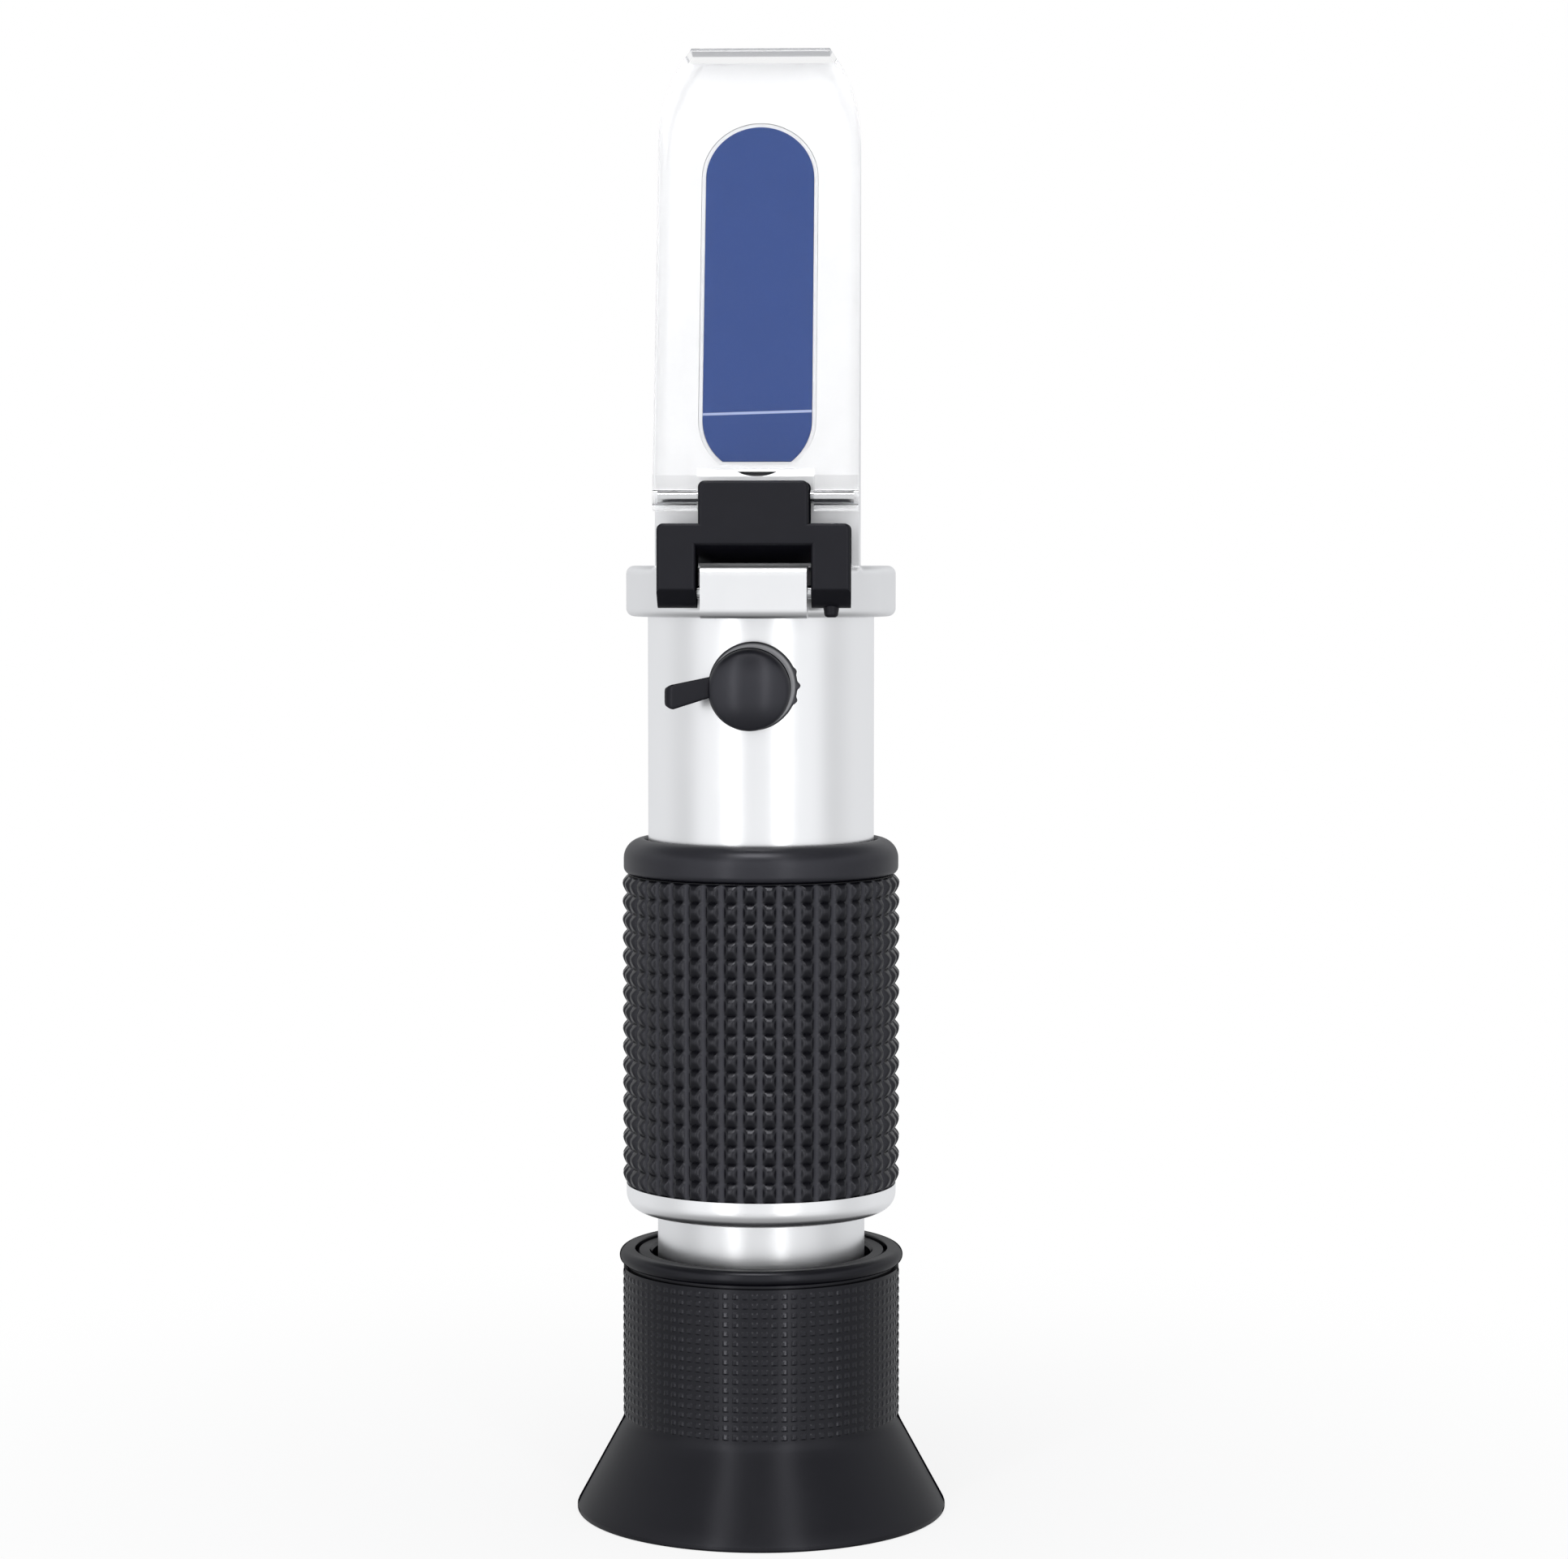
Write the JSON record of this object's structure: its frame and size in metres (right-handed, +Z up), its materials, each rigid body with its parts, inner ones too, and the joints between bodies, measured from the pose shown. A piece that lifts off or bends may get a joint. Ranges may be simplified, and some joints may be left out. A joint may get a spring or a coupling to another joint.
{
  "type": "brix refractometer",
  "caption": "Hand-held brix refractometer: slanted measuring prism under a hinged clear plate, metal tube with rubber grip, calibration screw and focusing eyepiece.",
  "frame": {"origin": "centre of the eyecup's foot, on the surface that the instrument stands on", "axes": "+Z up along the tube towards the measuring head; -Y towards the measuring face, clip and calibration cap; +X to the right seen from there"},
  "size_m": [0.0414, 0.0414, 0.163],
  "materials": {
    "black_rubber": "matt moulded rubber",
    "black_plastic": "satin moulded plastic",
    "black_nylon": "satin moulded nylon",
    "optical_glass": "polished",
    "prism_glass": "polished, blue from the filter behind",
    "blue_filter": "smooth blue film",
    "grey_cement": "smooth cement",
    "blackened_metal": "matt black",
    "bright_aluminium": "bright satin",
    "satin_aluminium": "satin casting",
    "steel": "drawn steel",
    "dark_steel": "black oxide",
    "bimetal": "rolled strip",
    "brass": "turned",
    "clear_plastic": "polished clear plastic"
  },
  "bodies": {
    "body": {"main_tube": "bright_aluminium", "prism_head": "satin_aluminium", "grip_sleeve": "black_rubber", "grip_end_ring": "bright_aluminium", "draw_tube": "bright_aluminium", "focus_guide_pin": "steel", "reticle_cell": "blackened_metal", "reticle_glass": "optical_glass", "reticle_lock_ring": "blackened_metal", "field_stop": "blackened_metal", "bimetal_strip": "bimetal", "bimetal_rivets": "steel", "calibration_bushing": "brass", "cap_base": "black_rubber", "head_seal": "black_rubber", "head_lock_screws": "dark_steel", "measuring_prism": "prism_glass", "prism_backing": "blue_filter", "prism_cement": "grey_cement", "hinge_pin": "steel"},
    "eyepiece_carriage": {"eye_lens_cell": "blackened_metal", "eye_lens": "optical_glass", "eye_lens_retainer": "blackened_metal"},
    "eyepiece": {"eyepiece_shell": "black_plastic", "eyecup": "black_rubber"},
    "adjuster": {"calibration_screw": "steel"},
    "objective": {"objective_carrier": "blackened_metal", "objective_lens": "optical_glass", "objective_retainer": "blackened_metal"},
    "cap": {"calibration_cap": "black_rubber"},
    "clip": {"hinge_clip": "black_nylon", "plate_pin": "steel"},
    "flap": {"daylight_plate": "clear_plastic"}
  },
  "joints": [
    {"name": "focus_slide", "type": "slide", "parent": "body", "child": "eyepiece_carriage", "axis": [0, 0, 1], "range_m": [-0.00151, 0.00151]},
    {"name": "focus_turn", "type": "hinge", "parent": "eyepiece_carriage", "child": "eyepiece", "pos_m": [0, 0, 0.02], "axis": [0, 0, 1], "range_deg": [-90, 90]},
    {"name": "calibration_turn", "type": "hinge", "parent": "body", "child": "adjuster", "pos_m": [0, -0.0135, 0.09305], "axis": [0, -1, 0], "range_deg": [-230, 230]},
    {"name": "objective_shift", "type": "slide", "parent": "body", "child": "objective", "axis": [0, 1, 0], "range_m": [-0.0003, 0.0003]},
    {"name": "cap_hinge", "type": "hinge", "parent": "body", "child": "cap", "pos_m": [-0.0088, -0.01385, 0.09305], "axis": [0, 0, -1], "range_deg": [0, 150]},
    {"name": "flap_hinge", "type": "hinge", "parent": "body", "child": "clip", "pos_m": [0, -0.01568, 0.1032], "axis": [1, 0, 0], "range_deg": [0, 135]},
    {"name": "plate_tilt", "type": "hinge", "parent": "clip", "child": "flap", "pos_m": [0, -0.01222, 0.11342], "axis": [1, 0, 0], "range_deg": [0, 10]}
  ],
  "couplings": [
    {"joint": "focus_slide", "follows": "focus_turn", "m_per_rad": 0.00095493},
    {"joint": "calibration_turn", "follows": "objective_shift", "rad_per_m": 12566}
  ]
}
